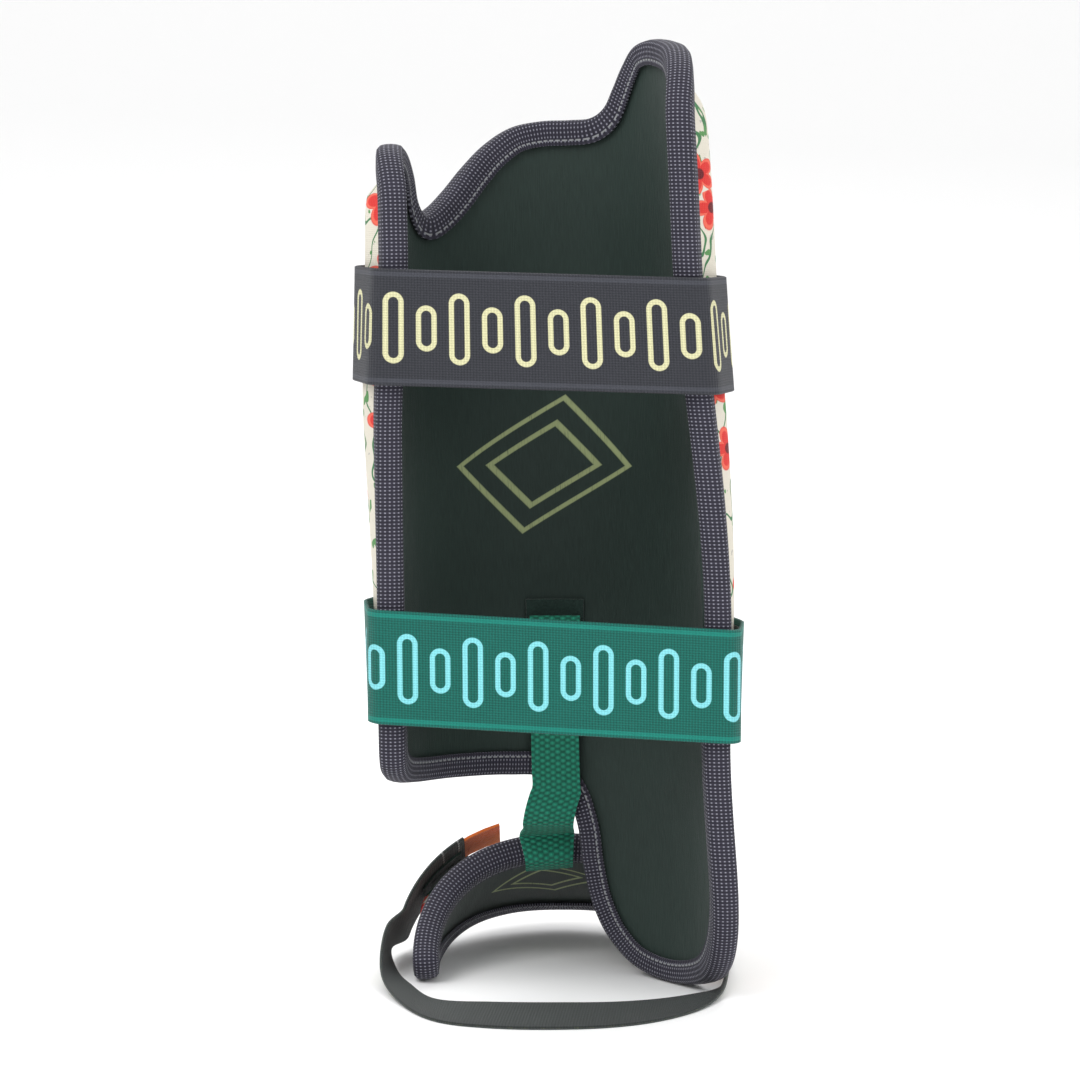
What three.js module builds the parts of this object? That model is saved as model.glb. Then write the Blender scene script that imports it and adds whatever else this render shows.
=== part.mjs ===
// Shin and instep guard for one leg: a curved shin pad with an ankle wing, two elastic calf straps
// closed by hook and loop, and a foot pad hung on a webbing link with its own strap under the sole.
// Millimetres, +Z up along the shin, -Y is the open calf side, +X is the side with the ankle wing.
import * as THREE from 'three';

// ---------------------------------------------------------------- driving dimensions
const SHIFT_X = -3.96;            // moves the bounding box's middle to the origin
const SHIFT_Y = -27.52;
const PAD_DEPTH = 81;             // near edges to the front wall's inner face
const PAD_FRONT_Y = 36;           // inner face of the front wall
const PAD_HALF_ARC = 112;         // half the developed width of the shin pad
const EDGE_THICK = 7;             // pad thickness where the tape holds it
const SHIN_SIDE_THICK = 14.5;      // pad thickness over the sides
const SHIN_FRONT_THICK = 23;      // pad thickness over the shin bone
const FOOT_THICK = 15;
const SKIN = 1.4;                 // liner and outer cover
const GAP = 0.5;                  // between neighbouring layers
const TAPE = 1;                   // thickness of the edge binding
const TAPE_GAP = 1.35;            // between the binding and the faces it wraps
const RIM_INSET = 4.3;             // from the tape's outer face to the rim of the layers
const TAPE_LEG = 11;              // reach of the binding over the inner face
const TAPE_BACK_LEG = 8;          // and over the outer cover
const FOOT_LIFT = 52.6;            // height of the foot pad's inner apex at its rear edge
const FOOT_BACK_Y = 52;           // and how far it stands behind the calf opening
const FOOT_MID_X = 11;
const FOOT_HALF_ARC = 104;
const FOOT_TILT = THREE.MathUtils.degToRad(29);     // slope of the instep down to the toes
const FOOT_WRAP = THREE.MathUtils.degToRad(99);     // turn of the arch from apex to tip
const STRAP_THICK = 1.4;
const STRAP_STANDOFF = 3.8;       // middle of a calf strap from the pad's outer surface
const CALF_STRAP_HALF = 24.8;     // half of a 50 mm elastic
const STRAP_END_Y = 14;           // how far round each side a calf strap reaches
const SOLE_STRAP_HALF = 22;

const group = new THREE.Group();

// ---------------------------------------------------------------- small helpers
const smooth = (x) => THREE.MathUtils.smoothstep(x, 0, 1);
const vec = (x, y, z) => new THREE.Vector3(x, y, z);

// Adds one closed body. Its faces are turned round if they point inwards.
function addMesh(name, positions, indices, [color, roughness]) {
  const corner = (i) => vec(...positions.slice(3 * i, 3 * i + 3));
  let volume = 0;
  for (let i = 0; i < indices.length; i += 3) {
    const [a, b, c] = indices.slice(i, i + 3).map(corner);
    volume += a.dot(b.cross(c));
  }
  if (volume < 0) indices.reverse();
  const geometry = new THREE.BufferGeometry();
  geometry.setAttribute('position', new THREE.Float32BufferAttribute(positions, 3));
  geometry.setIndex(indices);
  geometry.computeVertexNormals();
  const mesh = new THREE.Mesh(geometry, new THREE.MeshStandardMaterial({ color, roughness, metalness: 0 }));
  mesh.name = name;
  mesh.position.set(SHIFT_X, SHIFT_Y, 0);
  group.add(mesh);
}

// A closed loft: rings of points, all with the same count, joined in order. An open run gets flat
// ends, a closed run joins its last ring to its first.
function addLoft(name, rings, closedRun, look) {
  const count = rings[0].length;
  const positions = rings.flat().flatMap((p) => [p.x, p.y, p.z]);
  const indices = [];
  const last = closedRun ? rings.length : rings.length - 1;
  for (let i = 0; i < last; i += 1) {
    const a = i * count;
    const b = ((i + 1) % rings.length) * count;
    for (let j = 0; j < count; j += 1) {
      const k = (j + 1) % count;
      indices.push(a + j, b + j, b + k, a + j, b + k, a + k);
    }
  }
  if (!closedRun) {
    const end = (rings.length - 1) * count;
    for (let j = 1; j < count - 1; j += 1) {
      indices.push(0, j, j + 1, end, end + j + 1, end + j);
    }
  }
  addMesh(name, positions, indices, look);
}

// ---------------------------------------------------------------- the two curved surfaces
// Each maps developed coordinates (s across, t along, h outwards from the inner face) to space.

// The shin pad's cross-section is an arc of an ellipse, 180 degrees at the ankle and 220 at the calf.
function shinPoint(s, z, h) {
  const right = 57 - 5 * smooth((z - 330) / 100) + 16 * smooth((350 - z) / 190) + 4.6 * smooth((120 - z) / 90);
  const left = -60.5 + 3 * smooth((z - 250) / 80);
  const wrap = THREE.MathUtils.degToRad(90 + 20 * smooth((z - 90) / 240));
  const a = (right - left) / 2 / Math.sin(wrap);
  const b = PAD_DEPTH / (1 - Math.cos(wrap));
  const f = (s / PAD_HALF_ARC) * wrap;
  const normal = vec(b * Math.sin(f), a * Math.cos(f), 0).normalize();
  return vec((right + left) / 2 + a * Math.sin(f), PAD_FRONT_Y - b + b * Math.cos(f), z)
    .addScaledVector(normal, h);
}

// The foot pad's arch is stepped off from its apex: its slope grows evenly, less a little at the
// crown and more at the shoulders.
const ARCH_STEPS = 240;
const archSlope = (u) => FOOT_WRAP * (u - 0.05 * Math.sin(2 * Math.PI * u));
const arch = [vec(0, 0, 0)];
for (let i = 0; i < ARCH_STEPS; i += 1) {
  const f = archSlope(((i + 0.5) / ARCH_STEPS) * 1.2);
  const step = (FOOT_HALF_ARC * 1.2) / ARCH_STEPS;
  arch.push(vec(arch[i].x + step * Math.cos(f), arch[i].y - step * Math.sin(f), 0));
}

function footPoint(s, l, h) {
  const u = Math.abs(s) / FOOT_HALF_ARC;
  const place = Math.min((u / 1.2) * ARCH_STEPS, ARCH_STEPS - 1e-6);
  const i = Math.floor(place);
  const side = Math.sign(s);
  const f = archSlope(u);
  const x = THREE.MathUtils.lerp(arch[i].x, arch[i + 1].x, place - i) + h * Math.sin(f);
  const q = THREE.MathUtils.lerp(arch[i].y, arch[i + 1].y, place - i) + h * Math.cos(f);
  return vec(
    FOOT_MID_X + side * x,
    FOOT_BACK_Y + q * Math.sin(FOOT_TILT) + l * Math.cos(FOOT_TILT),
    FOOT_LIFT + q * Math.cos(FOOT_TILT) - l * Math.sin(FOOT_TILT),
  );
}

// ---------------------------------------------------------------- outlines, developed flat
const SHIN_OUTLINE = [
  [-112, 200], [-112, 338], [-109, 359], [-99, 371], [-86, 374.5], [-75, 371], [-67.5, 362], [-63, 350],
  [-56, 344], [-48.5, 347], [-40.5, 354], [-31.5, 364.5], [-22.5, 374], [-11, 382], [2, 385], [14, 385.5],
  [24, 386.5], [31, 391], [36, 399], [42, 409], [49, 417], [59, 420], [72, 419], [87, 415], [100, 406],
  [109, 392], [112, 370], [112, 200], [112, 80], [111, 46], [104, 25], [91, 10], [73, 2.4], [54, 0.4],
  [37, 4.6], [24, 16], [15.5, 32], [11.5, 50], [9.5, 68], [4, 83], [-6, 89.5], [-22, 91], [-50, 92.5],
  [-80, 95], [-98, 99], [-108.5, 107], [-112, 122],
];
const FOOT_OUTLINE = [
  [0, 0], [28, -1], [52, -3], [72, -5], [84, -5], [89, 2], [84, 16], [72, 36], [52, 61], [28, 80], [0, 88],
  [-28, 80], [-52, 62], [-73, 38], [-88, 13], [-97, -3], [-100, -13], [-95, -21], [-83, -18], [-62, -10],
  [-34, -3],
];

function closedCurve(points) {
  return new THREE.CatmullRomCurve3(points.map(([s, t]) => vec(s, t, 0)), true, 'centripetal');
}

// Points of an outline moved inwards by a distance, walking it anticlockwise or clockwise alike.
function insetOutline(points, distance, samples) {
  const curve = closedCurve(points);
  const turn = THREE.ShapeUtils.area(curve.getSpacedPoints(200)) > 0 ? 1 : -1;
  return Array.from({ length: samples }, (_, i) => {
    const p = curve.getPointAt(i / samples);
    const along = curve.getTangentAt(i / samples);
    return { s: p.x - turn * along.y * distance, t: p.y + turn * along.x * distance, along, turn };
  });
}

// How far a developed point lies inside an outline.
function depthInside(points) {
  const edge = closedCurve(points).getSpacedPoints(240);
  return (s, t) => Math.min(...edge.map((p) => Math.hypot(p.x - s, p.y - t)));
}

// The part of a flat region under and over one s: both crossings of its outline.
function crossings(loop, s) {
  const hits = [];
  loop.forEach((p, i) => {
    const q = loop[(i + 1) % loop.length];
    if ((p.s - s) * (q.s - s) <= 0 && p.s !== q.s) {
      hits.push(THREE.MathUtils.lerp(p.t, q.t, (s - p.s) / (q.s - p.s)));
    }
  });
  return [Math.min(...hits), Math.max(...hits)];
}

// Columns across a region, closer together where its outline is steep, and at some places of its own.
function columnsOf(loop, widest, tolerance, extra) {
  const all = loop.map((p) => p.s);
  const ends = [Math.min(...all) + 1.6, Math.max(...all) - 1.6];
  const split = (a, b, atA, atB) => {
    const middle = (a + b) / 2;
    const at = crossings(loop, middle);
    const bend = Math.max(...[0, 1].map((k) => Math.abs(at[k] - (atA[k] + atB[k]) / 2)));
    if (b - a < 1.2 || (b - a < widest && bend < tolerance)) return [b];
    return [...split(a, middle, atA, at), ...split(middle, b, at, atB)];
  };
  const found = [ends[0], ...split(ends[0], ends[1], crossings(loop, ends[0]), crossings(loop, ends[1]))];
  const apart = found.filter((s) => extra.every((e) => Math.abs(e - s) > 2));
  return [...apart, ...extra].sort((p, q) => p - q);
}

// A layer: a grid of columns and rows over a region, with an inner and an outer face at the
// heights given as functions of (s, t), closed round its rim.
function addLayer(name, place, columns, span, rows, inner, outer, look) {
  const faces = [inner, outer].map((height) => columns.flatMap((s) => {
    const [low, high] = span(s);
    return rows(high - low).map((v) => {
      const t = low + v * (high - low);
      return place(s, t, height(s, t));
    });
  }));
  const across = columns.length;
  const along = faces[0].length / across;
  const positions = faces.flat().flatMap((p) => [p.x, p.y, p.z]);
  const shift = faces[0].length;
  const at = (i, j) => i * along + j;
  const indices = [];
  for (let i = 0; i < across - 1; i += 1) {
    for (let j = 0; j < along - 1; j += 1) {
      const [a, b, c, d] = [at(i, j), at(i + 1, j), at(i + 1, j + 1), at(i, j + 1)];
      indices.push(a, b, c, a, c, d, shift + a, shift + c, shift + b, shift + a, shift + d, shift + c);
    }
  }
  const wall = (a, b) => indices.push(a, shift + a, shift + b, a, shift + b, b);
  for (let i = 0; i < across - 1; i += 1) {
    wall(at(i, 0), at(i + 1, 0));
    wall(at(i + 1, along - 1), at(i, along - 1));
  }
  for (let j = 0; j < along - 1; j += 1) {
    wall(at(0, j + 1), at(0, j));
    wall(at(across - 1, j), at(across - 1, j + 1));
  }
  addMesh(name, positions, indices, look);
}

// Rows that crowd towards both ends, where the pad thins under its binding.
const padRows = (middle) => (length) => {
  const low = [[0, 0], [8.5, 0.1], [19, 0.19], [36, 0.28]].map(([d, v]) => Math.min(d / length, v));
  const part = (i) => (i + 1) / (middle + 1);
  const inner = Array.from({ length: middle }, (_, i) => THREE.MathUtils.lerp(low[3], 1 - low[3], part(i)));
  return [...low, ...inner, ...low.map((v) => 1 - v).reverse()];
};
const evenRows = (count) => () => Array.from({ length: count }, (_, i) => i / (count - 1));

// A flat patch that follows a surface between two heights.
function addPatch(name, place, [s0, s1, columns], span, rows, inner, outer, look) {
  const across = Array.from({ length: columns }, (_, i) => THREE.MathUtils.lerp(s0, s1, i / (columns - 1)));
  addLayer(name, place, across, span, evenRows(rows), inner, outer, look);
}

// Edge binding: a C of woven tape that wraps the rim of all the layers.
const TAPE_INNER = -TAPE_GAP;
const TAPE_OUTER = EDGE_THICK + TAPE_GAP;
const TAPE_SECTION = [
  [TAPE_LEG, TAPE_INNER - TAPE], [1.6, TAPE_INNER - TAPE], [0, 0.4], [0, EDGE_THICK - 0.4],
  [1.6, TAPE_OUTER + TAPE], [TAPE_BACK_LEG, TAPE_OUTER + TAPE], [TAPE_BACK_LEG, TAPE_OUTER], [2.2, TAPE_OUTER],
  [2.2, TAPE_INNER], [TAPE_LEG, TAPE_INNER],
];
function addBinding(name, place, outline, samples, look) {
  const rings = insetOutline(outline, 0, samples).map(({ s, t, along, turn }) => {
    const ring = TAPE_SECTION.map(([m, h]) => place(s - turn * along.y * m, t + turn * along.x * m, h));
    return turn > 0 ? ring.reverse() : ring;
  });
  addLoft(name, rings, true, look);
}

// ---------------------------------------------------------------- looks: colour and roughness
const LINER = [0x24332e, 0.75];
const FOAM = [0x3a3f42, 0.9];
const SHELL_FOAM = [0x55595c, 0.85];
const PRINTED_COVER = [0xe4dfd2, 0.7];
const BINDING = [0x3d3b4a, 0.85];
const SLATE_ELASTIC = [0x33363e, 0.8];
const TEAL_ELASTIC = [0x0f6d64, 0.8];
const CHARCOAL_ELASTIC = [0x32363a, 0.8];
const GREEN_WEBBING = [0x137a5c, 0.85];
const HOOK_AND_LOOP = [0x14221e, 0.95];
const ORANGE_TAB = [0xc65a1e, 0.7];

// ---------------------------------------------------------------- the layers of a pad
function addPad(prefix, place, outline, full, widest, extra, middleRows, bindingSamples) {
  const loop = insetOutline(outline, RIM_INSET, 420);
  const columns = columnsOf(loop, widest, 2.2, extra);
  const span = (s) => crossings(loop, s);
  const rows = padRows(middleRows);
  const depth = depthInside(outline);
  // Crown: the pad keeps its edge thickness under the tape, then rises to its full thickness.
  const thick = (s, t) => EDGE_THICK + (full(s) - EDGE_THICK) * smooth((depth(s, t) - 12) / 13);
  const comfort = (s, t) => SKIN + GAP + 1.8 + 0.45 * (thick(s, t) - EDGE_THICK);
  addLayer(`${prefix}_liner`, place, columns, span, rows, () => 0, () => SKIN, LINER);
  addLayer(`${prefix}_comfort_foam`, place, columns, span, rows, () => SKIN + GAP, comfort, FOAM);
  addLayer(`${prefix}_impact_foam`, place, columns, span, rows,
    (s, t) => comfort(s, t) + GAP, (s, t) => thick(s, t) - SKIN - GAP, SHELL_FOAM);
  addLayer(`${prefix}_outer_cover`, place, columns, span, rows,
    (s, t) => thick(s, t) - SKIN, thick, PRINTED_COVER);
  addBinding(`${prefix}_edge_binding`, place, outline, bindingSamples, BINDING);
  return thick;
}

const shinFull = (s) => THREE.MathUtils.lerp(SHIN_FRONT_THICK, SHIN_SIDE_THICK, smooth(Math.abs(s) / 70));
const shinColumns = [-100, -93, -86, 86, 93, 100];
const shinThick = addPad('shin', shinPoint, SHIN_OUTLINE, shinFull, 17, shinColumns, 7, 108);
const footThick = addPad('foot', footPoint, FOOT_OUTLINE, () => FOOT_THICK, 18, [], 1, 64);

// ---------------------------------------------------------------- calf straps
// A strap lies along the convex hull of the pad's plan over the strap's height, a little off it.
function hullPath(z) {
  const cloud = [];
  for (let s = -PAD_HALF_ARC; s <= PAD_HALF_ARC; s += 2) cloud.push(shinPoint(s, z, shinThick(s, z)));
  for (const side of [-1, 1]) {
    for (const [m, h] of TAPE_SECTION.slice(1, 6)) cloud.push(shinPoint(side * (PAD_HALF_ARC - m), z, h));
  }
  cloud.sort((p, q) => p.x - q.x || p.y - q.y);
  const turns = (a, b, p) => (b.x - a.x) * (p.y - a.y) - (b.y - a.y) * (p.x - a.x);
  const chain = (points) => points.reduce((run, p) => {
    while (run.length > 1 && turns(run.at(-2), run.at(-1), p) <= 0) run.pop();
    return [...run, p];
  }, []);
  const hull = [...chain(cloud).slice(0, -1), ...chain([...cloud].reverse()).slice(0, -1)];
  // Stand each corner off with a small fan of points, so that the strap bends round it.
  const heading = (a, b) => Math.atan2(b.y - a.y, b.x - a.x) - Math.PI / 2;
  const loop = hull.flatMap((p, i) => {
    const start = heading(hull.at(i - 1), p);
    const bend = THREE.MathUtils.euclideanModulo(heading(p, hull[(i + 1) % hull.length]) - start, 2 * Math.PI);
    const fan = bend > 0.2 ? [0, 0.33, 0.67, 1] : [0.5];
    return fan.map((k) => vec(
      p.x + STRAP_STANDOFF * Math.cos(start + k * bend),
      p.y + STRAP_STANDOFF * Math.sin(start + k * bend),
      0,
    ));
  });
  // Keep the stretch from the sewn end on the left, across the calf, to the free end on the right.
  const first = loop.findIndex((p, i) => p.x < 0 && p.y < STRAP_END_Y && loop.at(i - 1).y >= STRAP_END_Y);
  const run = [...loop.slice(first), ...loop.slice(0, first)];
  const kept = run.slice(0, run.findIndex((p) => p.x > 0 && p.y > STRAP_END_Y));
  const path = new THREE.CurvePath();
  kept.slice(1).forEach((p, i) => path.add(new THREE.LineCurve3(kept[i], p)));
  return path;
}

// A strap is ruled between the paths of its lower and its upper edge. A place on it is given by
// the fraction of its length, how far up its width (-1 to 1) and how far off its middle surface.
function calfStrap(zMiddle, slope) {
  const edges = [-1, 1].map((side) => hullPath(zMiddle + side * CALF_STRAP_HALF));
  return (q, up, offset) => {
    const at = (k) => edges.map((edge) => edge.getPointAt(THREE.MathUtils.clamp(k, 0, 1)));
    const mix = (pair) => pair[0].clone().lerp(pair[1], (up + 1) / 2);
    const along = mix(at(q + 0.012)).sub(mix(at(q - 0.012)));
    const p = mix(at(q)).addScaledVector(vec(along.y, -along.x, 0).normalize(), offset);
    return p.setZ(zMiddle + slope * p.x + up * CALF_STRAP_HALF);
  };
}

function addStrip(name, strap, [from, to], width, [innerFace, outerFace], pieces, look) {
  const rings = Array.from({ length: pieces + 1 }, (_, i) => {
    const q = THREE.MathUtils.lerp(from, to, i / pieces);
    return [
      strap(q, -width, innerFace), strap(q, -width, outerFace),
      strap(q, width, outerFace), strap(q, width, innerFace),
    ];
  });
  addLoft(name, rings, false, look);
}

const HINGE_GAP = 0.0032;         // half gap, as a fraction of the strap, where one stretch turns on the next
const CALF_STRAPS = [
  { name: 'upper', zMiddle: 295.3, slope: -0.029, look: SLATE_ELASTIC },
  { name: 'lower', zMiddle: 147.7, slope: -0.057, look: TEAL_ELASTIC },
];
for (const { name, zMiddle, slope, look } of CALF_STRAPS) {
  const strap = calfStrap(zMiddle, slope);
  const faces = [-STRAP_THICK / 2, STRAP_THICK / 2];
  const steps = Array.from({ length: 501 }, (_, i) => i / 500);
  const onFlat = steps.filter((q) => strap(q, 0, 0).y < strap(0.5, 0, 0).y + 0.5);
  const [left, right] = [onFlat[0], onFlat.at(-1)];
  addStrip(`${name}_strap_anchor`, strap, [0, left - HINGE_GAP], 1, faces, 14, look);
  addStrip(`${name}_strap_band`, strap, [left + HINGE_GAP, right - HINGE_GAP], 1, faces, 12, look);
  addStrip(`${name}_strap_tail`, strap, [right + HINGE_GAP, 1], 1, faces, 14, look);
  addStrip(`${name}_hook_patch`, strap, [0.87, 0.992], 0.88, [-STRAP_THICK / 2 - 1.1, -STRAP_THICK / 2 - 0.3],
    8, HOOK_AND_LOOP);
  const patchZ = zMiddle + slope * 80;
  addPatch(`${name}_loop_patch`, shinPoint, [46, 84, 9], () => [patchZ - 21, patchZ + 21], 5,
    (s, z) => shinThick(s, z) + 0.9, (s, z) => shinThick(s, z) + 1.6, HOOK_AND_LOOP);
}

// ---------------------------------------------------------------- webbing link to the foot pad
const LINK_SPAN = [-12, 13];      // 25 mm webbing, across the front wall
const FLEX_Z = 84;                // where the webbing bends below the shin pad
addPatch('link_loop_patch', shinPoint, [-13, 14, 5], () => [126, 171], 8, () => -1.6, () => -0.7, HOOK_AND_LOOP);
addPatch('link_hook_patch', shinPoint, [...LINK_SPAN, 5], () => [133, 163], 4, () => -2.9, () => -2.0, HOOK_AND_LOOP);
addPatch('link_webbing', shinPoint, [...LINK_SPAN, 5], () => [FLEX_Z + 1, 164], 8, () => -4.8, () => -3.3, GREEN_WEBBING);

// Below the shin pad the webbing drops towards the foot pad's rear edge, then turns in under it.
// The foot pad flexes about the fold between the two stretches.
const LINK_FOOT_X = 3.8;
const FOOT_WEB_HALF = 11.6;
const webSides = [-1, 1].map((side) => {
  const x = side * FOOT_WEB_HALF;
  const edge = (l, h) => footPoint(LINK_FOOT_X - FOOT_MID_X + x, l, h);
  return new THREE.CatmullRomCurve3([
    vec(7 + x, PAD_FRONT_Y - 5, FLEX_Z - 1), vec(5 + x, PAD_FRONT_Y - 5, FLEX_Z - 8),
    vec(3.8 + x, PAD_FRONT_Y - 1.6, FLEX_Z - 15), vec(LINK_FOOT_X + x, FOOT_BACK_Y - 8, FLEX_Z - 20),
    edge(-2.6, 8), edge(-2.5, 3), edge(-1.8, -2.4), edge(3, -4.2), edge(10, -4.2),
  ]);
});
for (const [name, from, to, pieces] of [['link_drop', 0, 0.38, 8], ['foot_webbing', 0.42, 1, 13]]) {
  const rings = Array.from({ length: pieces + 1 }, (_, i) => {
    const k = THREE.MathUtils.lerp(from, to, i / pieces);
    const [left, right] = webSides.map((curve) => curve.getPoint(k));
    const along = webSides[0].getTangent(k);
    const out = vec(0, along.z, -along.y).normalize().multiplyScalar(0.8);
    return [left.clone().sub(out), left.clone().add(out), right.clone().add(out), right.clone().sub(out)];
  });
  addLoft(name, rings, false, GREEN_WEBBING);
}

// ---------------------------------------------------------------- strap under the sole
const LEFT_TURN = -70;            // where the strap leaves the foot pad's left side
const RIGHT_TURN = 68;            // and where it is sewn to the right side
const SOLE_MIDDLE = 23;           // middle of the strap along the instep
const soleSpan = () => [SOLE_MIDDLE - SOLE_STRAP_HALF, SOLE_MIDDLE + SOLE_STRAP_HALF];
const above = (lift) => () => FOOT_THICK + lift;
addPatch('foot_loop_patch', footPoint, [-60, -38, 6], () => [12, 32], 4,
  (s, l) => footThick(s, l) + 0.7, (s, l) => footThick(s, l) + 1.3, HOOK_AND_LOOP);
addPatch('foot_hook_patch', footPoint, [-58, -40, 6], () => [14, 30], 2, above(1.6), above(2.5), HOOK_AND_LOOP);
addPatch('foot_strap_tail', footPoint, [LEFT_TURN + 0.9, -38, 8], soleSpan, 2, above(2.9), above(4.3),
  CHARCOAL_ELASTIC);
addPatch('foot_pull_tab', footPoint, [-46, -24, 5], () => [10, 34], 2, above(4.7), above(5.9), ORANGE_TAB);
addPatch('foot_strap_anchor', footPoint, [46, RIGHT_TURN - 0.9, 6], soleSpan, 2, above(0.6), above(2),
  CHARCOAL_ELASTIC);

// The loop between them: its rear and toe-side edges, from the left turn round to the right one.
const turnEdge = (s, side, lift) => footPoint(s, SOLE_MIDDLE + side * SOLE_STRAP_HALF, FOOT_THICK + lift);
const [leftRear, leftToe] = [-1, 1].map((side) => turnEdge(LEFT_TURN, side, 3.6));
const [rightRear, rightToe] = [-1, 1].map((side) => turnEdge(RIGHT_TURN, side, 1.3));
const FLOOR = STRAP_THICK / 2 + 0.1;
const rearEdge = new THREE.CatmullRomCurve3([
  leftRear, vec(-69, 27, 23), vec(-71, 3, 8), vec(-62, -31, 2), vec(-44, -64, FLOOR), vec(-20, -75, FLOOR),
  vec(9, -77, FLOOR), vec(32, -73, FLOOR), vec(52, -62, FLOOR), vec(70, -42, 1.2), vec(80, -20, 3.2),
  vec(84, 4, 9), vec(85, 26, 18), rightRear,
]);
const toeEdge = new THREE.CatmullRomCurve3([
  leftToe, vec(-69, 56, 6), vec(-65, 26, 2), vec(-58, 2, FLOOR), vec(-45, -26, FLOOR), vec(-20, -31, FLOOR),
  vec(9, -32, FLOOR), vec(32, -31, FLOOR), vec(50, -26, FLOOR), vec(66, -17, FLOOR), vec(79, -7, 1.2),
  vec(84, 18, 2), vec(87, 50, 5), rightToe,
]);
const LOOP_PIECES = 44;
const loopRings = Array.from({ length: LOOP_PIECES + 1 }, (_, i) => {
  const q = THREE.MathUtils.lerp(0.006, 0.994, i / LOOP_PIECES);
  const [rear, toe] = [rearEdge.getPoint(q), toeEdge.getPoint(q)];
  const along = rearEdge.getTangent(q).add(toeEdge.getTangent(q));
  const down = along.cross(rear.clone().sub(toe)).normalize().multiplyScalar(STRAP_THICK / 2);
  return [rear.clone().add(down), toe.clone().add(down), toe.clone().sub(down), rear.clone().sub(down)];
});
addLoft('foot_strap_band', loopRings, false, CHARCOAL_ELASTIC);

export default group;
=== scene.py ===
import math

import bpy
import numpy as np
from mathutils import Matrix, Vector


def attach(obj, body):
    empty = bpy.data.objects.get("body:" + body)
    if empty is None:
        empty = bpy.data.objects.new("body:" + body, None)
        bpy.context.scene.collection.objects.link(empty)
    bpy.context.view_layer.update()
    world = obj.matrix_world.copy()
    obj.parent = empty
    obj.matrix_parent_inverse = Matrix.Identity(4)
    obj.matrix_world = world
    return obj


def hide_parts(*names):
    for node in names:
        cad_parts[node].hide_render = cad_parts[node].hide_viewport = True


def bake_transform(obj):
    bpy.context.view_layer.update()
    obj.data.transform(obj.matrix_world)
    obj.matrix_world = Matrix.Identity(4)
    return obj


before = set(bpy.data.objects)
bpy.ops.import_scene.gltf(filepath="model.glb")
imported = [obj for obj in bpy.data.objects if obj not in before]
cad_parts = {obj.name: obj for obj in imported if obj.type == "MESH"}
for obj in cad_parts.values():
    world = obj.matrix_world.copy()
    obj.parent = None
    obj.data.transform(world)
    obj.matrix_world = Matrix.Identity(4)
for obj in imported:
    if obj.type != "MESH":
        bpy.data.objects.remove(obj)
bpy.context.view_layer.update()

# ---------------------------------------------------------------- shin pad: foam under a printed cover
# The leg side is a trough of closed-cell foam under a stretched cotton cover printed with red
# flowers. The cover is glued over the foam and its rim is caught in the woven binding.
SHIFT = np.array([-3.96, -27.52, 0.0])    # millimetres, from the pad's own layout to the row frame
HALF_ARC = 112.0
EDGE_THICK = 7.0
RIM_INSET = 4.3
SHIN_OUTLINE = np.array([
    [-112, 200], [-112, 338], [-109, 359], [-99, 371], [-86, 374.5], [-75, 371], [-67.5, 362], [-63, 350],
    [-56, 344], [-48.5, 347], [-40.5, 354], [-31.5, 364.5], [-22.5, 374], [-11, 382], [2, 385], [14, 385.5],
    [24, 386.5], [31, 391], [36, 399], [42, 409], [49, 417], [59, 420], [72, 419], [87, 415], [100, 406],
    [109, 392], [112, 370], [112, 200], [112, 80], [111, 46], [104, 25], [91, 10], [73, 2.4], [54, 0.4],
    [37, 4.6], [24, 16], [15.5, 32], [11.5, 50], [9.5, 68], [4, 83], [-6, 89.5], [-22, 91], [-50, 92.5],
    [-80, 95], [-98, 99], [-108.5, 107], [-112, 122]])


def ease(x):
    """Smooth step: three x squared less two x cubed, held between nought and one."""
    x = np.clip(x, 0, 1)
    return x * x * (3 - 2 * x)


def shin_point(s, z, h):
    """The cross-section is an arc of an ellipse through both near edges; its half turn grows from 90
    degrees at the ankle to 110 at the calf. The point stands h off it along the ellipse's normal."""
    s, z, h = np.broadcast_arrays(np.asarray(s, float), z, h)
    right = 57 - 5 * ease((z - 330) / 100) + 16 * ease((350 - z) / 190) + 4.6 * ease((120 - z) / 90)
    left = -60.5 + 3 * ease((z - 250) / 80)
    wrap = np.radians(90 + 20 * ease((z - 90) / 240))
    a, b = (right - left) / 2 / np.sin(wrap), 81 / (1 - np.cos(wrap))
    turn = s / HALF_ARC * wrap
    nx, ny = b * np.sin(turn), a * np.cos(turn)
    n = np.hypot(nx, ny)
    return np.stack([(right + left) / 2 + a * np.sin(turn) + h * nx / n,
                     36 - b + b * np.cos(turn) + h * ny / n, z], -1) + SHIFT


def spline(points, closed, per_span=16):
    """Centripetal Catmull-Rom: knots are spaced by the root of each chord, and every span is a cubic
    through its two points with the slopes that its two neighbours give."""
    p = np.asarray(points, float)
    before, after = (p[-1:], p[:2]) if closed else (2 * p[:1] - p[1:2], 2 * p[-1:] - p[-2:-1])
    p = np.vstack([before, p, after])
    d = np.maximum(np.linalg.norm(np.diff(p, axis=0), axis=1), 1e-6)[:, None] ** 0.5
    p0, p1, p2, p3, d0, d1, d2 = p[:-3], p[1:-2], p[2:-1], p[3:], d[:-2], d[1:-1], d[2:]
    m1 = ((p1 - p0) / d0 - (p2 - p0) / (d0 + d1) + (p2 - p1) / d1) * d1
    m2 = ((p2 - p1) / d1 - (p3 - p1) / (d1 + d2) + (p3 - p2) / d2) * d1
    t = (np.arange(per_span) / per_span)[None, :, None]
    run = ((2 * t**3 - 3 * t**2 + 1) * p1[:, None] + (t**3 - 2 * t**2 + t) * m1[:, None]
           + (3 * t**2 - 2 * t**3) * p2[:, None] + (t**3 - t**2) * m2[:, None]).reshape(-1, p.shape[1])
    return run if closed else np.vstack([run, p[-2:-1]])


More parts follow.
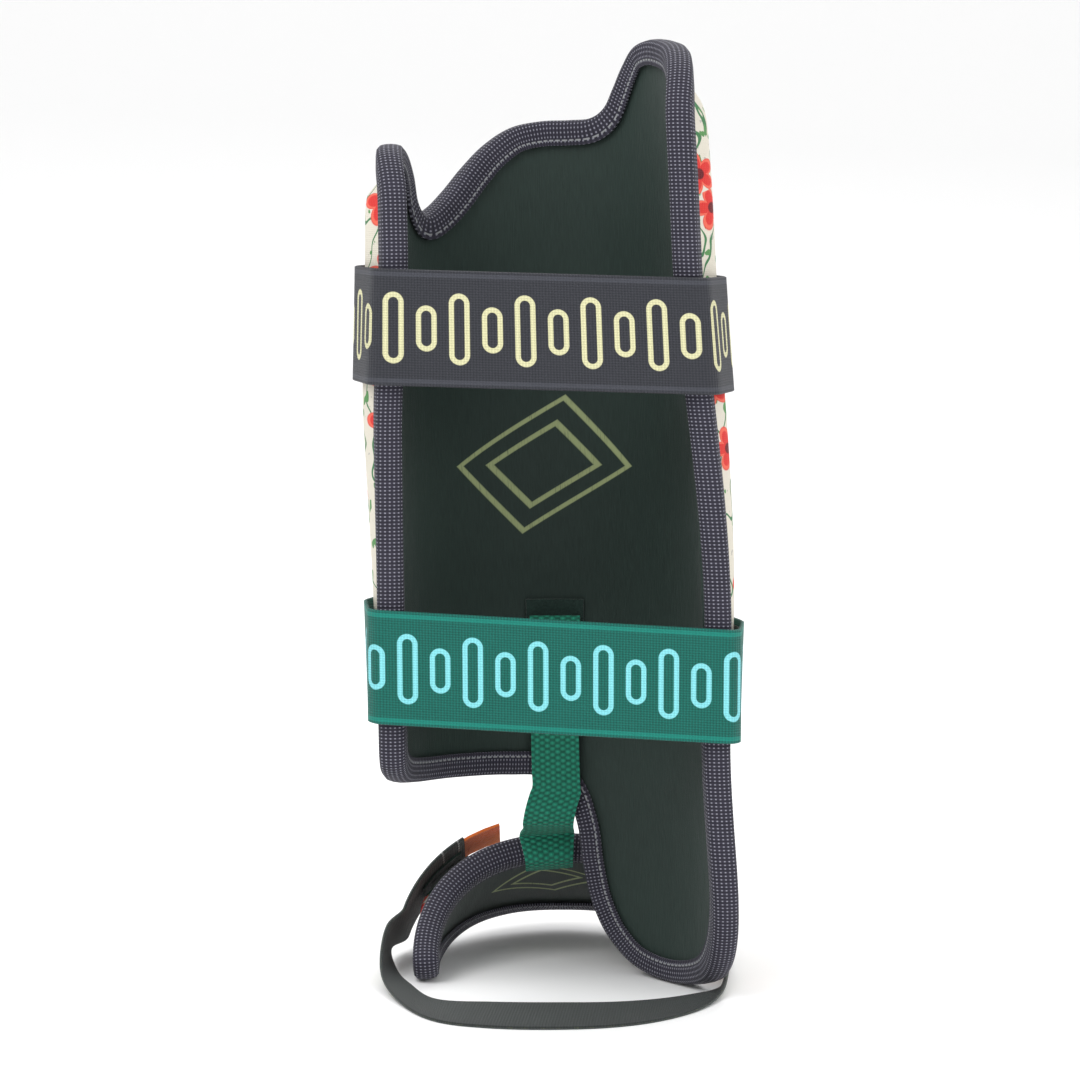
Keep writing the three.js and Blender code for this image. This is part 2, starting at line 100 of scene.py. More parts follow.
def resample(run, count, closed=False):
    """Even steps by length along a polyline, by straight interpolation."""
    run = np.vstack([run, run[:1]]) if closed else run
    reach = np.concatenate([[0], np.cumsum(np.linalg.norm(np.diff(run, axis=0), axis=1))])
    at = np.linspace(0, reach[-1], count, endpoint=not closed)
    return np.stack([np.interp(at, reach, run[:, k]) for k in range(run.shape[1])], -1), reach[-1]


def inset(outline, distance, count):
    """An outline moved inwards along its own normal, with the inward normal at each point."""
    run, length = resample(spline(outline, True), count, closed=True)
    along = np.roll(run, -1, 0) - np.roll(run, 1, 0)
    along /= np.linalg.norm(along, axis=1)[:, None]
    area = np.sum(run[:, 0] * np.roll(run[:, 1], -1) - np.roll(run[:, 0], -1) * run[:, 1])
    inward = np.stack([-along[:, 1], along[:, 0]], -1) * np.sign(area)
    return run + inward * distance, inward, length


def loft(name, rings, uv, closed=False):
    """A closed skin: rings of points joined in order, each ring a loop. An open run gets a face on
    each end, a closed run joins its last ring to its first. Faces are turned to point outwards."""
    n, m = rings.shape[:2]
    i, j = np.meshgrid(np.arange(n if closed else n - 1), np.arange(m), indexing="ij")
    i, j = i.ravel(), j.ravel()
    corners = [(i, j), (i + 1, j), (i + 1, j + 1), (i, j + 1)]
    quads = np.stack([(a % n) * m + b % m for a, b in corners], -1)
    coords = np.stack([uv[a, b] for a, b in corners], 1)
    points = rings.reshape(-1, 3) / 1000
    mid = points - points.mean(0)
    p, q, r, s = (mid[quads[:, k]] for k in range(4))
    volume = np.sum(p * np.cross(q, r)) + np.sum(p * np.cross(r, s))
    faces = [list(f) for f in quads.tolist()]
    flat = list(coords.reshape(-1, 2))
    if not closed:
        faces += [list(range(m))[::-1], list(range((n - 1) * m, n * m))]
        flat += list(uv[0, :m][::-1]) + list(uv[n - 1, :m])
    mesh = bpy.data.meshes.new(name)
    mesh.from_pydata(points.tolist(), [], faces)
    layer = mesh.uv_layers.new(name="weave")
    layer.uv.foreach_set("vector", np.array(flat, np.float32).ravel())
    if volume < 0:
        mesh.flip_normals()
    mesh.shade_smooth()
    mesh.set_sharp_from_angle(angle=math.radians(50))
    piece = bpy.data.objects.new(name, mesh)
    bpy.context.scene.collection.objects.link(piece)
    return piece


def pad_layer(name, place, outline, inner, outer, columns, rows):
    """A grid over the outline's inside, crowded towards its rim by a sine, with one face at the
    height inner and one at outer, as functions of the place and of its depth inside the outline."""
    loop = inset(outline, RIM_INSET, 700)[0]
    edge = resample(spline(outline, True), 500, closed=True)[0]
    u = np.sin(np.linspace(-1, 1, columns) * math.pi / 2)
    lo, hi = loop[:, 0].min() + 0.3, loop[:, 0].max() - 0.3
    s = (lo + hi) / 2 + u * (hi - lo) / 2
    p, q = loop, np.roll(loop, -1, 0)
    crossed = (p[None, :, 0] - s[:, None]) * (q[None, :, 0] - s[:, None]) <= 0
    step = np.where(np.abs(q[:, 0] - p[:, 0]) < 1e-9, 1e-9, q[:, 0] - p[:, 0])
    t = p[None, :, 1] + (s[:, None] - p[None, :, 0]) / step[None] * (q[None, :, 1] - p[None, :, 1])
    low, high = np.where(crossed, t, np.inf).min(1), np.where(crossed, t, -np.inf).max(1)
    v = (1 + np.sin(np.linspace(-1, 1, rows) * math.pi / 2)) / 2
    S = np.repeat(s[:, None], rows, 1)
    T = low[:, None] + (high - low)[:, None] * v[None]
    depth = np.stack([np.sqrt(((edge[None] - np.stack([a, b], -1)[:, None]) ** 2).sum(-1)).min(1)
                      for a, b in zip(S, T)])
    faces = [place(S, T, inner(S, T, depth)), place(S, T, outer(S, T, depth))[:, ::-1]]
    flat = np.stack([S, T], -1)
    uv = np.concatenate([flat, flat[:, ::-1], flat[:, :1]], 1)
    return loft(name, np.concatenate(faces, 1), uv)


class Wire:
    """A shader socket on which arithmetic adds Math nodes."""

    def __init__(self, paint, socket):
        self.paint, self.socket = paint, socket

    def math(self, operation, *others, clamp=False):
        node = self.paint.node("ShaderNodeMath", {"operation": operation, "use_clamp": clamp},
                               dict(enumerate((self, *others))))
        return Wire(self.paint, node.outputs[0])

    def __add__(self, other): return self.math("ADD", other)
    def __sub__(self, other): return self.math("SUBTRACT", other)
    def __mul__(self, other): return self.math("MULTIPLY", other)
    def __truediv__(self, other): return self.math("DIVIDE", other)
    def __rsub__(self, other): return self.math("MULTIPLY_ADD", -1.0, other)
    __radd__, __rmul__ = __add__, __mul__

    def near(self, target, width, soft):
        """One within width of target, falling to nought over soft."""
        return ((self - target).math("ABSOLUTE") - width).math("DIVIDE", -soft).math("ADD", 1.0, clamp=True)

    def above(self, level, soft):
        return ((self - level) / soft).math("ADD", 0.5, clamp=True)

    def wave(self, pitch):
        """A cosine between nought and one that repeats each pitch."""
        return (self * (2 * math.pi / pitch)).math("COSINE") * 0.5 + 0.5


class Paint:
    """One material, made up of nodes."""

    def __init__(self, name):
        self.material = bpy.data.materials.new(name)
        self.material.use_nodes = True
        self.tree = self.material.node_tree
        self.skin = self.tree.nodes["Principled BSDF"]

    def node(self, kind, settings=(), inputs=()):
        node = self.tree.nodes.new(kind)
        for key, value in dict(settings).items():
            setattr(node, key, value)
        for key, value in dict(inputs).items():
            socket = node.inputs[key]
            if isinstance(value, Wire):
                self.tree.links.new(value.socket, socket)
            else:
                socket.default_value = value
        return node

    def flat(self):
        """The piece's own flat layout in millimetres: across and along."""
        where = self.node("ShaderNodeUVMap", {"uv_map": "weave"})
        parts = self.node("ShaderNodeSeparateXYZ", (), {0: Wire(self, where.outputs[0])})
        return Wire(self, parts.outputs[0]), Wire(self, parts.outputs[1])

    def join(self, x, y, z=0.0):
        return Wire(self, self.node("ShaderNodeCombineXYZ", (), {0: x, 1: y, 2: z}).outputs[0])

    def noise(self, where, scale, detail=3.0):
        node = self.node("ShaderNodeTexNoise", (), {"Vector": where, "Scale": scale, "Detail": detail})
        return Wire(self, node.outputs[0])

    def mix(self, share, a, b):
        node = self.node("ShaderNodeMix", {"data_type": "RGBA"}, {0: share, 6: a, 7: b})
        return Wire(self, node.outputs[2])

    def done(self, colour, roughness, height, depth, sheen=0.06):
        """Colour, roughness and a bump of the height, whose full range is depth metres."""
        bump = self.node("ShaderNodeBump", (), {"Height": height, "Distance": depth, "Strength": 0.8})
        for key, value in (("Base Color", colour), ("Roughness", roughness),
                           ("Normal", Wire(self, bump.outputs[0]))):
            if isinstance(value, Wire):
                self.tree.links.new(value.socket, self.skin.inputs[key])
            else:
                self.skin.inputs[key].default_value = value
        self.skin.inputs["Sheen Weight"].default_value = sheen
        self.skin.inputs["Sheen Roughness"].default_value = 0.5
        self.skin.inputs["Specular IOR Level"].default_value = 0.25
        return self.material


def printed_cloth():
    """Cream cotton: red five-petalled flowers round scattered points, green stems, grey flecks."""
    paint = Paint("printed_cover")
    s, t = paint.flat()
    warp = paint.noise(paint.join(s, t), 0.04)
    cell = paint.node("ShaderNodeTexVoronoi", {"voronoi_dimensions": "2D"},
                      {"Vector": paint.join(s, t), "Scale": 1 / 30, "Randomness": 0.75})
    centre = paint.node("ShaderNodeSeparateXYZ", (), {0: Wire(paint, cell.outputs["Position"])})
    x, y = s - Wire(paint, centre.outputs[0]), t - Wire(paint, centre.outputs[1])
    reach = (x * x + y * y).math("SQRT")
    petals = (y.math("ARCTAN2", x) * 2.5).math("COSINE").math("ABSOLUTE")
    flower = (petals * 4.5 + 5.5 + (warp - 0.5) * 6 - reach).above(0, 0.6)
    heart = (2.4 - reach).above(0, 0.5)
    rim = (petals * 4.5 + 5.5 + (warp - 0.5) * 6 - reach).near(1.2, 0.5, 0.5)
    stem = (paint.noise(paint.join(s, t * 0.5), 0.07, 1.0) - 0.5).math("ABSOLUTE")
    leaf = (0.012 - stem).above(0, 0.004)
    blade = (paint.noise(paint.join(s * 1.6 + 90, t * 0.7), 0.16, 1.0)).above(0.64, 0.01)
    fleck = (paint.noise(paint.join(s + 40, t), 0.3, 2.0)).above(0.69, 0.01)
    colour = paint.mix(fleck * 0.6, (0.62, 0.585, 0.50, 1), (0.28, 0.28, 0.27, 1))
    colour = paint.mix(leaf, colour, (0.05, 0.17, 0.07, 1))
    colour = paint.mix(blade, colour, (0.09, 0.24, 0.08, 1))
    colour = paint.mix(flower, colour, (0.58, 0.03, 0.025, 1))
    colour = paint.mix(rim * 0.7, colour, (0.75, 0.16, 0.1, 1))
    colour = paint.mix(heart, colour, (0.12, 0.008, 0.012, 1))
    weave = s.wave(0.9) * t.wave(0.9)
    folds = paint.noise(paint.join(s * 0.5, t), 0.05)
    return paint.done(colour, 0.75, weave * 0.12 + folds, 0.0012)


def shin_thick(s, t, depth):
    """Full thickness 23 over the shin bone and 14.5 at the sides, down to 7 under the binding."""
    full = 23 - 8.5 * ease(np.abs(s) / 70)
    return EDGE_THICK + (full - EDGE_THICK) * ease((depth - 12) / 13)


print_cloth = printed_cloth()
FOAM_FACE = 1.6                           # where the foam starts, on the liner's back
shin_cover = pad_layer("shin_cover", shin_point, SHIN_OUTLINE, lambda s, t, d: FOAM_FACE + 0 * s,
                       shin_thick, 150, 200)
shin_cover.data.materials.append(print_cloth)
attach(shin_cover, "shin_pad")
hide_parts("shin_outer_cover", "shin_impact_foam", "shin_comfort_foam")

# ---------------------------------------------------------------- shin liner
# The side against the leg: a dark green knit with a fine vertical grain, laminated to soft foam.
# Its plain emblem of nested lozenges is printed in pale green.


def lining_cloth(name, emblem_at, emblem_size, emblem_lean):
    """Dark knit with grain along the pad, and two outlined lozenges, one inside the other."""
    paint = Paint(name)
    s, t = paint.flat()
    grain = paint.noise(paint.join(s * 2.2, t * 0.12), 1.0, 4.0)
    patch = paint.noise(paint.join(s, t), 0.012, 2.0)
    x = (s - emblem_at[0] - (t - emblem_at[1]) * emblem_lean).math("ABSOLUTE") / emblem_size[0]
    y = (t - emblem_at[1]).math("ABSOLUTE") / emblem_size[1]
    ring = (x + y).near(1.0, 0.035, 0.02) + (x + y).near(0.62, 0.04, 0.02)
    ring = ring.math("MINIMUM", 1.0) * (grain.above(0.3, 0.3))
    colour = paint.mix(grain, (0.006, 0.012, 0.010, 1), (0.021, 0.040, 0.033, 1))
    colour = paint.mix(patch * 0.4, colour, (0.030, 0.050, 0.042, 1))
    colour = paint.mix(ring * 0.85, colour, (0.36, 0.42, 0.20, 1))
    waves = paint.noise(paint.join(s, t * 0.4), 0.05, 2.0)
    return paint.done(colour, 0.62, grain * 0.25 + waves, 0.0011, sheen=0.10)


LINER_THICK = 1.5
shin_liner = pad_layer("shin_liner_cloth", shin_point, SHIN_OUTLINE, lambda s, t, d: 0 * s,
                       lambda s, t, d: LINER_THICK + 0 * s, 150, 200)
shin_liner.data.materials.append(lining_cloth("shin_lining", (-2, 232), (38, 30), 0.35))
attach(shin_liner, "shin_pad")
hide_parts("shin_liner")

# ---------------------------------------------------------------- edge bindings
# A slate-violet woven tape folded over the rim of the pad and stitched through, with light specks
# where its weft shows. It gathers a little at the tight bends.
# The section as (inwards from the rim, off the liner's face): its outer side, then its inner side.
TAPE_RUN = np.array([[11, -2.35], [8, -2.45], [4, -2.4], [1.9, -2.0], [0.5, -0.8], [0, 1], [-0.2, 3.5],
                     [0, 6], [0.5, 7.8], [1.9, 9.0], [4, 9.3], [8, 9.35]])
TAPE_BACK = np.array([[8, 8.35], [4, 8.3], [2.6, 7.6], [2.2, 5], [2.2, 2], [2.6, -0.8], [4, -1.3],
                      [11, -1.35]])


def tape_cloth():
    """Ribs run across the tape each 1.6, broken by specks each 2.0 of its width; a grey stitch line
    of short dashes runs near the inner border."""
    paint = Paint("edge_tape")
    u, v = paint.flat()
    drift = paint.noise(paint.join(u, v), 0.08)
    rib = u.wave(1.6)
    speck = (u.wave(1.6).above(0.72, 0.25)) * ((v + 0.3).wave(2.0).above(0.7, 0.25))
    dash = v.near(2.2, 0.32, 0.12) * (u / 3.1).math("FRACT").above(0.3, 0.08)
    colour = paint.mix(rib * 0.6, (0.011, 0.010, 0.017, 1), (0.036, 0.033, 0.051, 1))
    colour = paint.mix(drift * 0.3, colour, (0.055, 0.053, 0.078, 1))
    colour = paint.mix(speck * 0.75, colour, (0.30, 0.30, 0.36, 1))
    colour = paint.mix(dash * 0.8, colour, (0.30, 0.31, 0.32, 1))
    gathers = paint.noise(paint.join(u * 1.0, v * 0.15), 0.25, 2.0)
    return paint.done(colour, 0.8, rib * 0.35 + speck * 0.2 + dash * 0.4 + gathers * 0.9, 0.0007)


def binding(name, place, outline, count):
    """The folded section carried round the outline, standing square to it in the flat layout."""
    run, inward, length = inset(outline, 0, count)
    section = np.vstack([TAPE_RUN, TAPE_BACK])
    m, h = section[:, 0][None], section[:, 1][None]
    rings = place(run[:, :1] + inward[:, :1] * m, run[:, 1:] + inward[:, 1:] * m, np.repeat(h, count, 0))
    across = np.concatenate([[0], np.cumsum(np.linalg.norm(np.diff(TAPE_RUN, axis=0), axis=1))])
    across = np.concatenate([across, np.linspace(across[-1], 0, len(TAPE_BACK)), [0]])
    uv = np.stack(np.meshgrid(np.linspace(0, length, count + 1), across, indexing="ij"), -1)
    return loft(name, rings, uv, closed=True)


tape = tape_cloth()
shin_tape = binding("shin_binding", shin_point, SHIN_OUTLINE, 900)
shin_tape.data.materials.append(tape)
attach(shin_tape, "shin_pad")
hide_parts("shin_edge_binding")

# ---------------------------------------------------------------- foot pad
# A tongue-shaped pad of the same build for the instep: printed cover, foam, dark lining and the
# same tape round its rim. It arches over the foot and slopes down to the toes.
FOOT_OUTLINE = np.array([
    [0, 0], [28, -1], [52, -3], [72, -5], [84, -5], [89, 2], [84, 16], [72, 36], [52, 61], [28, 80],
    [0, 88], [-28, 80], [-52, 62], [-73, 38], [-88, 13], [-97, -3], [-100, -13], [-95, -21], [-83, -18],
    [-62, -10], [-34, -3]])
FOOT_HALF_ARC, FOOT_TILT, FOOT_WRAP = 104.0, math.radians(29), math.radians(99)


def arch_slope(u):
    return FOOT_WRAP * (u - 0.05 * np.sin(2 * math.pi * u))


ARCH_U = np.linspace(0, 1.2, 241)
ARCH_MID = (ARCH_U[1:] + ARCH_U[:-1]) / 2
ARCH_X = np.concatenate([[0], np.cumsum(np.cos(arch_slope(ARCH_MID)))]) * FOOT_HALF_ARC * 1.2 / 240
ARCH_Q = -np.concatenate([[0], np.cumsum(np.sin(arch_slope(ARCH_MID)))]) * FOOT_HALF_ARC * 1.2 / 240


def foot_point(s, l, h):
    """The arch is stepped off from its apex by adding up its slope; the whole leans down to the toes."""
    s, l, h = np.broadcast_arrays(np.asarray(s, float), l, h)
    u = np.abs(s) / FOOT_HALF_ARC
    f = arch_slope(u)
    x = np.interp(u, ARCH_U, ARCH_X) + h * np.sin(f)
    q = np.interp(u, ARCH_U, ARCH_Q) + h * np.cos(f)
    return np.stack([11 + np.sign(s) * x, 52 + q * math.sin(FOOT_TILT) + l * math.cos(FOOT_TILT),
                     52.6 + q * math.cos(FOOT_TILT) - l * math.sin(FOOT_TILT)], -1) + SHIFT


def foot_thick(s, t, depth):
    return EDGE_THICK + 8 * ease((depth - 12) / 13)


foot_cover = pad_layer("foot_cover", foot_point, FOOT_OUTLINE, lambda s, t, d: FOAM_FACE + 0 * s,
                       foot_thick, 110, 80)
foot_cover.data.materials.append(print_cloth)
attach(foot_cover, "foot_pad")
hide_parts("foot_outer_cover", "foot_impact_foam", "foot_comfort_foam")
foot_liner = pad_layer("foot_liner_cloth", foot_point, FOOT_OUTLINE, lambda s, t, d: 0 * s,
                       lambda s, t, d: LINER_THICK + 0 * s, 110, 80)
foot_liner.data.materials.append(lining_cloth("foot_lining", (-8, 40), (26, 20), 0.2))
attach(foot_liner, "foot_pad")
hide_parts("foot_liner")
foot_tape = binding("foot_binding", foot_point, FOOT_OUTLINE, 500)
foot_tape.data.materials.append(tape)
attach(foot_tape, "foot_pad")
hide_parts("foot_edge_binding")

# ---------------------------------------------------------------- calf straps
# Two 50 mm knitted elastics: the upper slate, the lower teal. Each is sewn to the pad on one side,
# crosses the calf and closes on the other side by hook and loop.
STRAP_HALF = 24.8
STRAP_THICK = 1.4
STANDOFF = 3.8                            # a strap's middle off the pad's outer surface
STRAP_END_Y = 14                          # how far round each side it reaches
CORNER = 0.014                            # metres at the pad's near corners; it only enters sums below whose results are not kept


def elastic_cloth(name, dark, light, motif, half, pitch, end):
    """Fine square ribs, a paler line by each selvage, and a row of rounded bars, tall and short by
    turns, as a plain printed pattern. Rows of stitches cross the band near both of its ends."""
    paint = Paint(name)
    u, v = paint.flat()
    rib = u.wave(1.3) * 0.5 + v.wave(1.1) * 0.5
    drift = paint.noise(paint.join(u, v), 0.05)
    selvage = v.math("ABSOLUTE").near(half - 2.2, 0.7, 0.5)
    turn = (u / pitch).math("FRACT") - 0.5
    which = (u / pitch).math("FLOOR").math("PINGPONG", 1.0)
    tall = half * (0.36 + which * 0.22)
    body = ((turn * pitch).math("ABSOLUTE"), (v.math("ABSOLUTE") - (tall - 3.6)).math("MAXIMUM", 0.0))
    reach = (body[0] * body[0] + body[1] * body[1]).math("SQRT")
    bar = reach.near(3.3, 0.95, 0.3)
    colour = paint.mix(rib, dark, light)
    colour = paint.mix(drift * 0.3, colour, light)
    colour = paint.mix(selvage * 0.35, colour, tuple(min(1.0, 2.2 * c) for c in light[:3]) + (1,))
    colour = paint.mix(bar * (rib * 0.3 + 0.7), colour, motif)
    seam = u.math("ABSOLUTE")
    stitch = seam.near(end - 3, 0.35, 0.2).math("MAXIMUM", seam.near(end - 12, 0.35, 0.2))
    stitch = stitch * (v / 3.0).math("FRACT").above(0.3, 0.1)
    colour = paint.mix(stitch * 0.8, colour, (0.35, 0.36, 0.36, 1))
    waves = paint.noise(paint.join(u * 0.6, v * 0.3), 0.06, 2.0)
    return paint.done(colour, 0.7, rib * 0.3 + bar * 0.12 + stitch * 0.5 + waves * 1.2, 0.0010, sheen=0.08)


def hull_edge(z):
    """The pad's plan at one height, wrapped tight: for each heading the farthest point that way,
    stood 3.8 off it, kept from the sewn side at the left across the calf to the right."""
    s = np.arange(-HALF_ARC, HALF_ARC + 1, 2.0)
    depth = np.minimum(HALF_ARC - np.abs(s), 60)
    m, h = TAPE_RUN[3:11].T
    cloud = np.vstack([shin_point(s, z, shin_thick(s, z, depth)),
                       *(shin_point(side * (HALF_ARC - m), z, h) for side in (-1, 1))])[:, :2]
    f = np.radians(np.linspace(140, 400, 1041))
    away = np.stack([np.cos(f), np.sin(f)], -1)
    path = cloud[np.argmax(away @ cloud.T, axis=1)] + STANDOFF * away
    path = resample(path, 1600)[0]
    return path[path[:, 1] <= STRAP_END_Y + SHIFT[1]]


def strap_rings(low, high, thickness, count, printed=1):
    """A band ruled between its two edges, with a flat oval section of even thickness. The layout of
    its unprinted face is set far aside, so that only one face carries the pattern."""
    low, high = (resample(edge, count)[0] for edge in (low, high))
    along = np.gradient((low + high) / 2, axis=0)
    up = high - low
    out = np.cross(along, up)
    out /= np.linalg.norm(out, axis=1)[:, None]
    across = np.array([-1, -0.985, -0.5, 0, 0.5, 0.985, 1, 0.985, 0.5, 0, -0.5, -0.985])
    offset = np.array([0, 1, 1, 1, 1, 1, 0, -1, -1, -1, -1, -1]) * thickness / 2
    k = ((across + 1) / 2)[None, :, None]
    rings = low[:, None] * (1 - k) + high[:, None] * k + out[:, None] * offset[None, :, None]
    reach = np.concatenate([[0], np.cumsum(np.linalg.norm(along[1:] + along[:-1], axis=1) / 2)])
    width = np.linalg.norm(up, axis=1).mean()
    v = across * width / 2 + 500 * (offset * printed < 0)
    v = np.append(v, v[0])
    return rings, np.stack(np.meshgrid(reach - reach.mean(), v, indexing="ij"), -1)


ELASTICS = {
    "upper": (295.3, -0.029, "slate_elastic", (0.011, 0.012, 0.016, 1), (0.036, 0.038, 0.047, 1),
              (0.66, 0.64, 0.38, 1)),
    "lower": (147.7, -0.057, "teal_elastic", (0.001, 0.042, 0.034, 1), (0.003, 0.140, 0.108, 1),
              (0.22, 0.66, 0.72, 1)),
}
for which, (z_mid, slope, slot, dark, light, motif) in ELASTICS.items():
    plans = [resample(hull_edge(z_mid + side * STRAP_HALF), 400)[0] for side in (-1, 1)]
    edges = [np.column_stack([p, z_mid + slope * (p[:, 0] - SHIFT[0]) + side * STRAP_HALF])
             for p, side in zip(plans, (-1, 1))]
    rings, uv = strap_rings(*edges, STRAP_THICK, 300)
    cloth = elastic_cloth(slot, dark, light, motif, STRAP_HALF, 14, float(uv[-1, 0, 0]))
    centre = rings.mean(1)
    half = int(np.argmin(np.abs(centre[:, 0] - SHIFT[0]) + (centre[:, 1] > -60) * 1000))
    back = centre[half, 1] / 1000
    first = loft(f"{which}_strap_sewn", rings[:half + 1], uv[:half + 1])
    second = loft(f"{which}_strap_free", rings[half:], uv[half:])
    for piece in (first, second):
        piece.data.materials.append(cloth)
    left, right = centre[:, 0].min() / 1000, centre[:, 0].max() / 1000
    back + CORNER
    left + CORNER
    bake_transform(first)
    right - CORNER
    back + CORNER
    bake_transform(second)
    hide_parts(f"{which}_strap_anchor", f"{which}_strap_band")
    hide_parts(f"{which}_strap_tail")

# ---------------------------------------------------------------- webbing link
# A 25 mm coarse green webbing held on the loop patch below the lower strap, which drops out of the
# shin pad and turns in under the foot pad's rear edge, so the foot pad can flex on it.


def webbing_cloth():
    """Coarse picks each 2.7 along the webbing, in two staggered columns of heavy yarn."""
    paint = Paint("green_webbing")
    u, v = paint.flat()
    shift = (v / 2.4).math("FLOOR").math("PINGPONG", 1.0) * 1.35
    pick = (u + shift).wave(2.7) * (v.wave(2.4) * -0.6 + 1)
    drift = paint.noise(paint.join(u, v), 0.3)
    colour = paint.mix(pick, (0.003, 0.05, 0.03, 1), (0.02, 0.30, 0.18, 1))
    colour = paint.mix(drift * 0.3, colour, (0.03, 0.36, 0.25, 1))
    return paint.done(colour, 0.75, pick, 0.0008)


z_run = np.linspace(164, 86, 14)
sides = []
for side, s_edge in ((-1, -12.0), (1, 13.0)):
    x = side * 11.6
    top = shin_point(s_edge, z_run, -4.05)
    drop = np.array([[7 + x, 31, 83], [5 + x, 31, 76], [3.8 + x, 34.4, 69], [3.8 + x, 44, 64]]) + SHIFT
    under = foot_point(3.8 - 11 + x, np.array([-2.6, -2.5, -1.8, 3, 10]),
                       np.array([8, 3, -2.4, -4.2, -4.2]))
    sides.append(spline(np.vstack([top, drop, under]), False))
rings, uv = strap_rings(*sides, 1.6, 160)
webbing = loft("link_web", rings, uv)
webbing.data.materials.append(webbing_cloth())
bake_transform(webbing)
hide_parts("link_webbing", "link_drop", "foot_webbing")

# ---------------------------------------------------------------- strap under the sole
# A 44 mm charcoal elastic sewn to the foot pad's right side. It passes under the sole, flat on the
# floor, and its free end climbs the left side to close on the foot pad.
FLOOR = 0.8


def foot_edge(l, across, climb):
    """One edge of the sole strap: over the left side, down, across the floor and up the right."""
    left = foot_point(np.linspace(-38, -70, 12), l, 18.6)
    right = foot_point(np.linspace(68, 46, 8), l, 16.3)
    return spline(np.vstack([left, np.array(across) + SHIFT, np.array(climb) + SHIFT, right]), False, 8)


WIDTH_AT_FOOT = (1, 45)                   # the strap's two edges, along the foot pad
rear = foot_edge(
    WIDTH_AT_FOOT[0],
    [(-69, 27, 23), (-71, 3, 8), (-62, -31, 2), (-44, -64, FLOOR), (-20, -75, FLOOR), (9, -77, FLOOR),
     (32, -73, FLOOR)],
    [(52, -62, FLOOR), (70, -42, 1.3), (80, -20, 3.2), (84, 4, 9), (85, 26, 18)])
toe = foot_edge(
    WIDTH_AT_FOOT[1],
    [(-69, 56, 6), (-65, 26, 2), (-58, 2, 1.2), (-45, -26, FLOOR), (-20, -31, FLOOR), (9, -32, FLOOR),
     (32, -31, FLOOR)],
    [(50, -26, FLOOR), (66, -17, FLOOR), (79, -7, 1.3), (84, 18, 2), (87, 50, 5)])
rings, uv = strap_rings(rear, toe, STRAP_THICK, 320, printed=-1)
half = 160
sole_cloth = elastic_cloth("charcoal_elastic", (0.010, 0.013, 0.013, 1), (0.038, 0.046, 0.044, 1),
                           (0.42, 0.42, 0.12, 1), 22.0, 14, float(uv[-1, 0, 0]))
free_end = loft("sole_strap_free", rings[:half + 1], uv[:half + 1])
sewn_end = loft("sole_strap_sewn", rings[half:], uv[half:])
for piece in (free_end, sewn_end):
    piece.data.materials.append(sole_cloth)
left_turn = foot_point(np.array([-74.0, -64.0]), 23, 17.0) / 1000
right_turn = foot_point(np.array([62.0, 74.0]), 23, 16.0) / 1000
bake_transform(sewn_end)
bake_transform(free_end)
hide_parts("foot_strap_anchor", "foot_strap_band")
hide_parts("foot_strap_tail")

# ---------------------------------------------------------------- hook and loop, and the pull tab
# Napped dark-green loop and stiff hook patches, sewn flat, and an orange folded tape to pull the
# sole strap open by.


def nap_cloth(name, dark, light):
    paint = Paint(name)
    where = paint.node("ShaderNodeTexCoord")
    place = Wire(paint, where.outputs["Object"])
    fuzz = paint.noise(place, 900.0, 4.0)
    clump = paint.noise(place, 180.0, 2.0)
    colour = paint.mix(fuzz * 0.7 + clump * 0.3, dark, light)
    return paint.done(colour, 0.95, fuzz + clump * 0.6, 0.0009, sheen=0.2)


nap = nap_cloth("hook_and_loop", (0.004, 0.010, 0.008, 1), (0.026, 0.055, 0.045, 1))
orange = nap_cloth("orange_tape", (0.42, 0.07, 0.008, 1), (0.80, 0.20, 0.04, 1))
for name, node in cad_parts.items():
    if name.endswith("patch") or name == "foot_pull_tab":
        node.data.materials.clear()
        node.data.materials.append(orange if name == "foot_pull_tab" else nap)

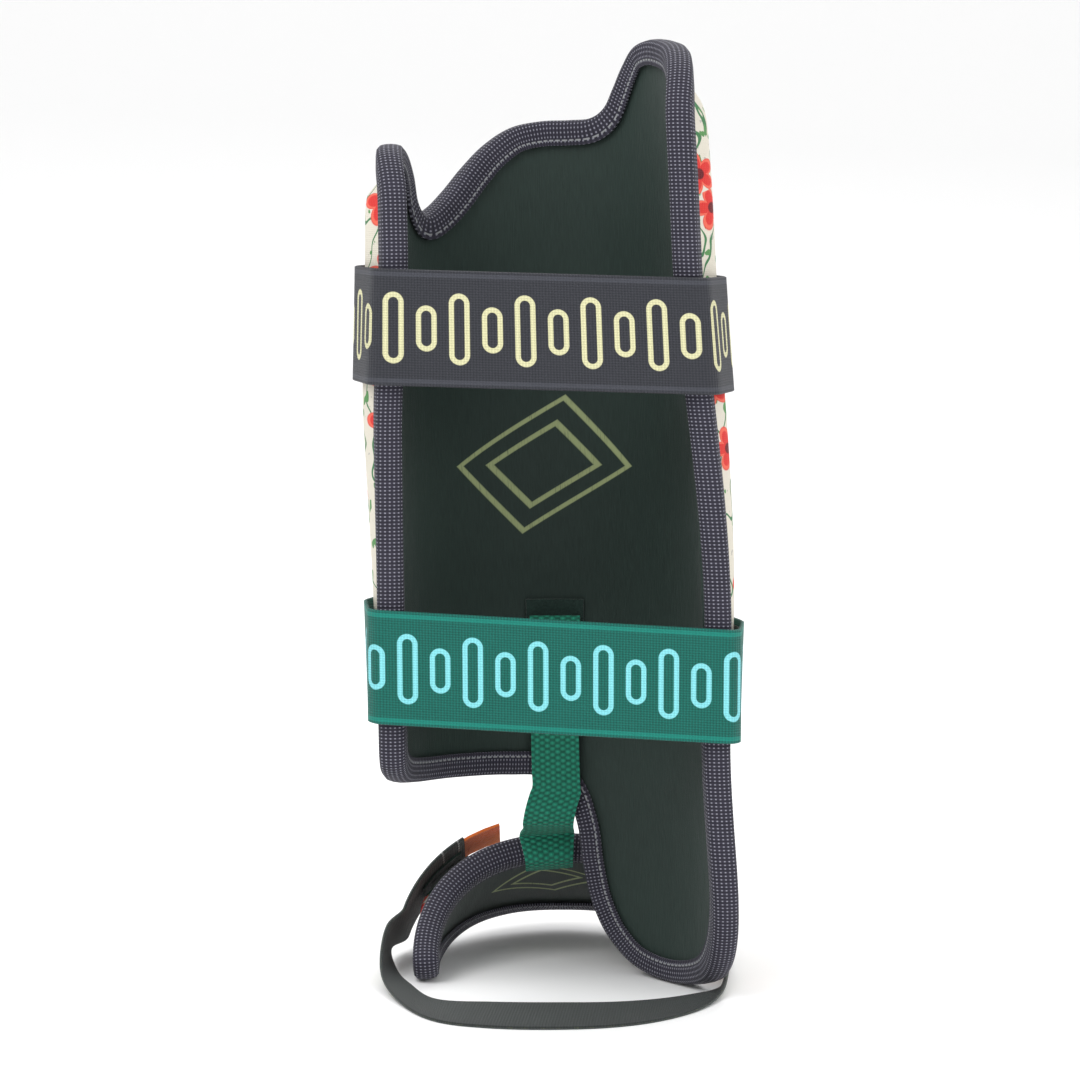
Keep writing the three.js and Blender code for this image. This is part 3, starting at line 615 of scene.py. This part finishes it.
# ---------------------------------------------------------------- floor, light and camera
# A pale sweep that runs flat under the object and curves up far behind it.
pale = Paint("studio_floor")
pale.skin.inputs["Base Color"].default_value = (0.90, 0.90, 0.90, 1)
pale.skin.inputs["Roughness"].default_value = 0.9
profile = np.vstack([[[-6.0, 0.0], [2.0, 0.0]],
                     [[2 + 2 * math.sin(a), 2 - 2 * math.cos(a)] for a in np.linspace(0.1, 1.5, 14)],
                     [[4.0, 2.2], [4.0, 8.0]]])
x = np.array([-9.0, 9.0])
sweep = np.stack([np.repeat(x[:, None], len(profile), 1), np.repeat(profile[None, :, 0], 2, 0),
                  np.repeat(profile[None, :, 1], 2, 0)], -1)
mesh = bpy.data.meshes.new("floor")
count = len(profile)
mesh.from_pydata(sweep.reshape(-1, 3).tolist(), [],
                 [(k, count + k, count + k + 1, k + 1) for k in range(count - 1)])
mesh.shade_smooth()
floor = bpy.data.objects.new("floor", mesh)
floor.data.materials.append(pale.material)
bpy.context.scene.collection.objects.link(floor)

world = bpy.data.worlds.new("studio")
world.use_nodes = True
world.node_tree.nodes["Background"].inputs[0].default_value = (1, 1, 1, 1)
world.node_tree.nodes["Background"].inputs[1].default_value = 0.95
bpy.context.scene.world = world
for name, place, size, power in (("key", (-1.1, -1.4, 1.9), 1.4, 30), ("fill", (1.5, -1.2, 1.1), 1.6, 14),
                                 ("back", (0.2, 1.8, 1.9), 1.6, 22)):
    lamp = bpy.data.lights.new(name, "AREA")
    lamp.size, lamp.energy = size, power
    lit = bpy.data.objects.new(name, lamp)
    lit.location = place
    lit.rotation_euler = (Vector((0, 0, 0.2)) - Vector(place)).to_track_quat("-Z", "Y").to_euler()
    bpy.context.scene.collection.objects.link(lit)

lens = bpy.data.cameras.new("camera")
lens.lens, lens.sensor_width = 117.5, 36.0
camera = bpy.data.objects.new("camera", lens)
stand = Vector((-0.00396, -1.57252, 0.361))
target = Vector((-0.00396, -0.07252, 0.206))
camera.location = stand
camera.rotation_euler = (target - stand).to_track_quat("-Z", "Y").to_euler()
bpy.context.scene.collection.objects.link(camera)
bpy.context.scene.camera = camera
bpy.context.scene.view_settings.view_transform = "Standard"
